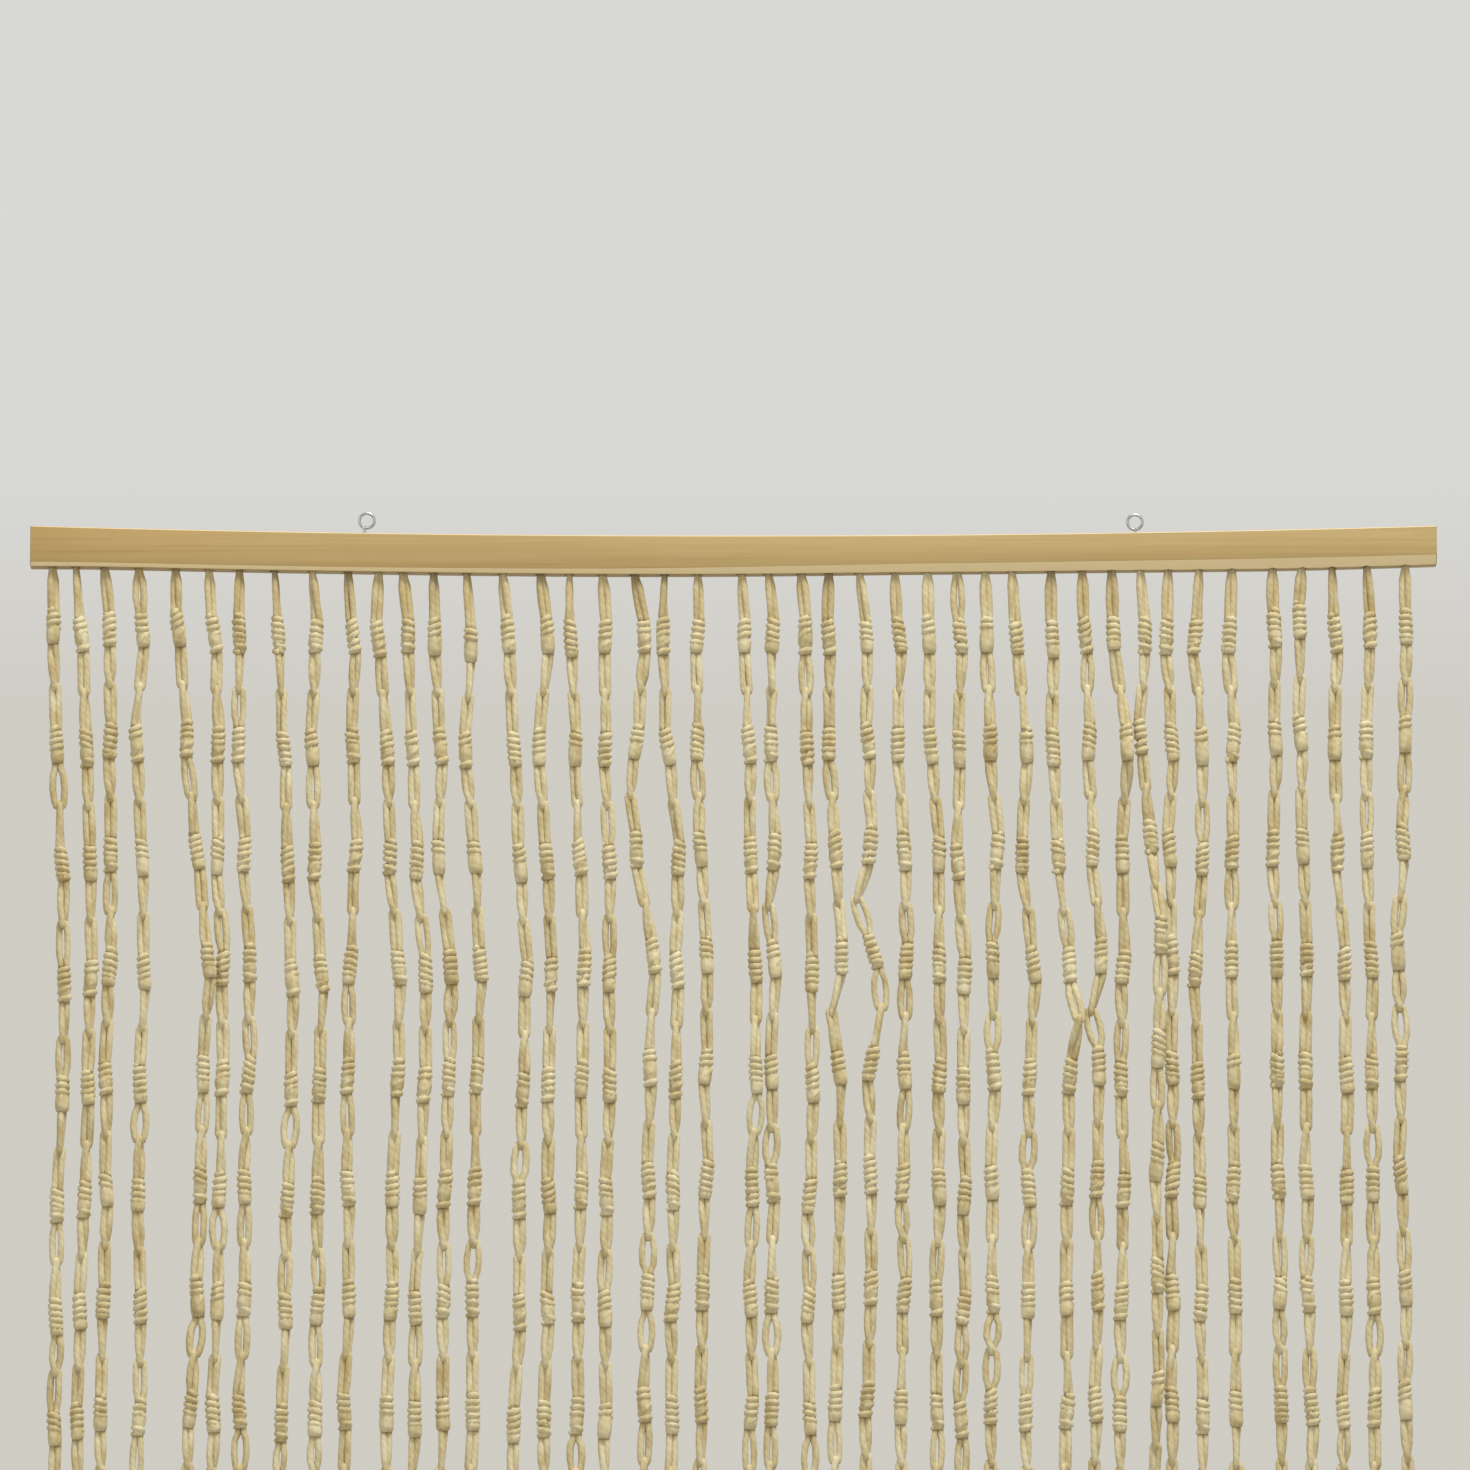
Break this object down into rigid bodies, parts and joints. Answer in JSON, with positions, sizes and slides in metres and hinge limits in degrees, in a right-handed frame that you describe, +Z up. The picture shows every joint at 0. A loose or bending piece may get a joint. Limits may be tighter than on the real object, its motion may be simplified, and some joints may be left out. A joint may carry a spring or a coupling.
{
  "type": "door curtain with wooden batten",
  "caption": "Door curtain: strands of looped and knotted natural cord hang close together from a slim planed wooden batten with screw eyes in its top edge.",
  "frame": {"origin": "middle of the batten's flat back face", "axes": "+Z up along the strands, +X to the viewer's right along the batten, +Y out of the batten's back, towards the wall or door frame"},
  "size_m": [0.9, 0.021, 1.9807],
  "materials": {
    "planed_pine": "planed and lightly stained, satin",
    "zinc_wire": "bright zinc-plated wire",
    "natural_cord": "twisted straw-coloured natural cord, matt"
  },
  "bodies": {
    "root": {"batten": "planed_pine", "eye_left": "zinc_wire", "eye_right": "zinc_wire", "strands_left": "natural_cord", "strands_right": "natural_cord"}
  },
  "joints": []
}
